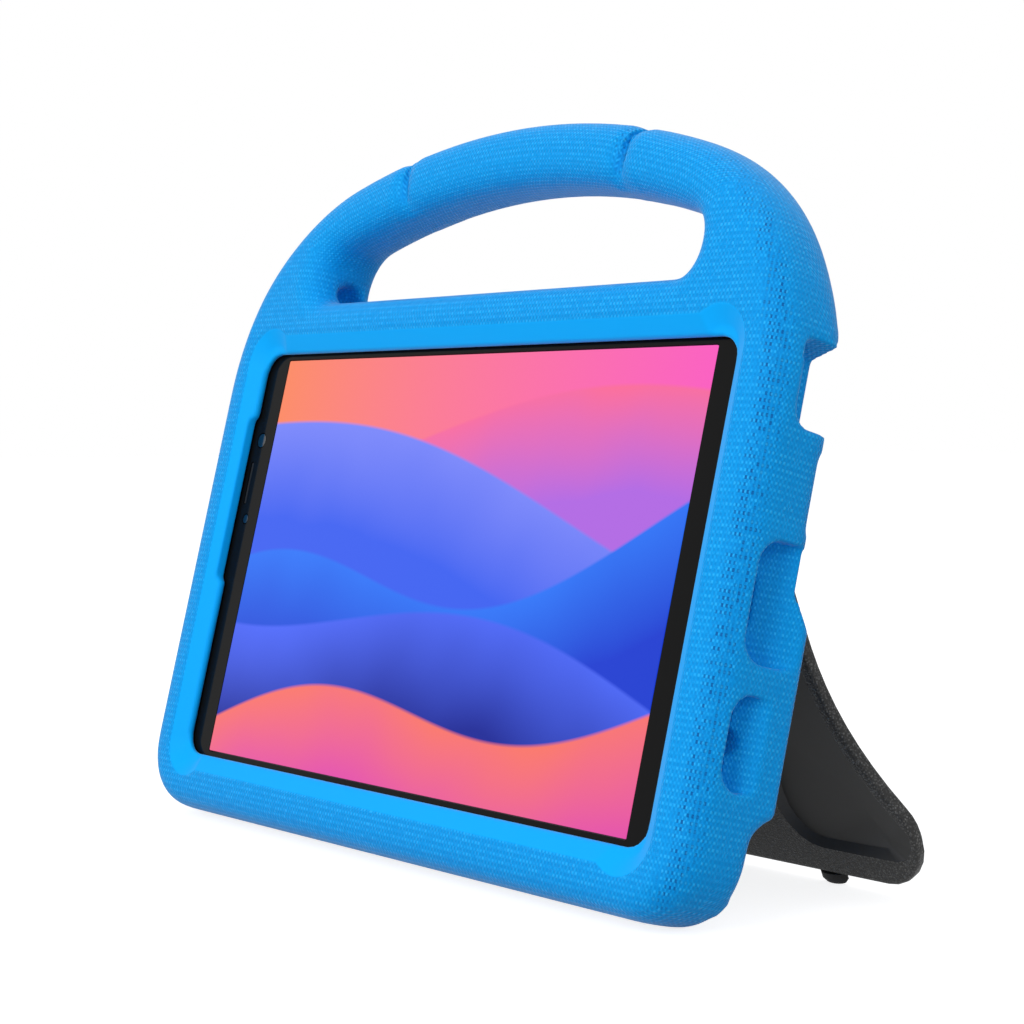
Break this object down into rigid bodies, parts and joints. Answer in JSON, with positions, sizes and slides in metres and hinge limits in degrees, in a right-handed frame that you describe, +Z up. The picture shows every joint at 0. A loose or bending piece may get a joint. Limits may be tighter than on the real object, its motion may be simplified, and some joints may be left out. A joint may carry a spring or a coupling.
{
  "type": "tablet case with stand",
  "caption": "Soft foam tablet case with an arched carry handle, a small tablet in its pocket and a fold-out leg hinged on its back.",
  "frame": {"origin": "middle of the outline seen from above, on the floor that the case and its leg stand on", "axes": "+Z up, -Y towards the person who looks at the screen, X along the screen's long side"},
  "size_m": [0.2208, 0.0784, 0.1794],
  "materials": {
    "foam": "closed-cell foam, matt, with a fine woven grain",
    "tablet_shell": "satin",
    "front_glass": "gloss, opaque black",
    "display": "gloss, lit picture",
    "lens_glass": "gloss, opaque",
    "black_plastic": "matt",
    "leg_plastic": "matt with a fine woven grain",
    "black_rubber": "matt",
    "dark_metal": "matt",
    "steel": "satin"
  },
  "bodies": {
    "case": {"foam_case": "foam", "tablet_housing": "tablet_shell", "tablet_front_glass": "front_glass", "tablet_display": "display", "front_camera_lens": "lens_glass", "front_light_sensor": "lens_glass", "earpiece_mesh": "black_plastic", "rear_camera_ring": "tablet_shell", "rear_camera_glass": "lens_glass", "charging_socket": "steel", "headphone_socket": "black_plastic", "hinge_plate": "leg_plastic", "hinge_inner_plate": "dark_metal", "hinge_rivet_1": "steel", "hinge_rivet_2": "steel", "hinge_rivet_3": "steel", "hinge_rivet_4": "steel"},
    "stand": {"stand_leg": "leg_plastic", "stand_foot_left": "black_rubber", "stand_foot_right": "black_rubber", "hinge_pin": "steel"},
    "volume_button": {"volume_key": "tablet_shell"},
    "power_button": {"power_key": "tablet_shell"}
  },
  "joints": [
    {"name": "stand_hinge", "type": "hinge", "parent": "case", "child": "stand", "pos_m": [0, 0.00308, 0.08597], "axis": [1, 0, 0], "range_deg": [-36.2, 0]},
    {"name": "volume_press", "type": "slide", "parent": "case", "child": "volume_button", "axis": [0, -0.2419, -0.9703], "range_m": [0, 0.0003], "stiffness_N_per_m": 2000, "springref_m": -0.0003},
    {"name": "power_press", "type": "slide", "parent": "case", "child": "power_button", "axis": [0, -0.2419, -0.9703], "range_m": [0, 0.0003], "stiffness_N_per_m": 2000, "springref_m": -0.0003}
  ]
}
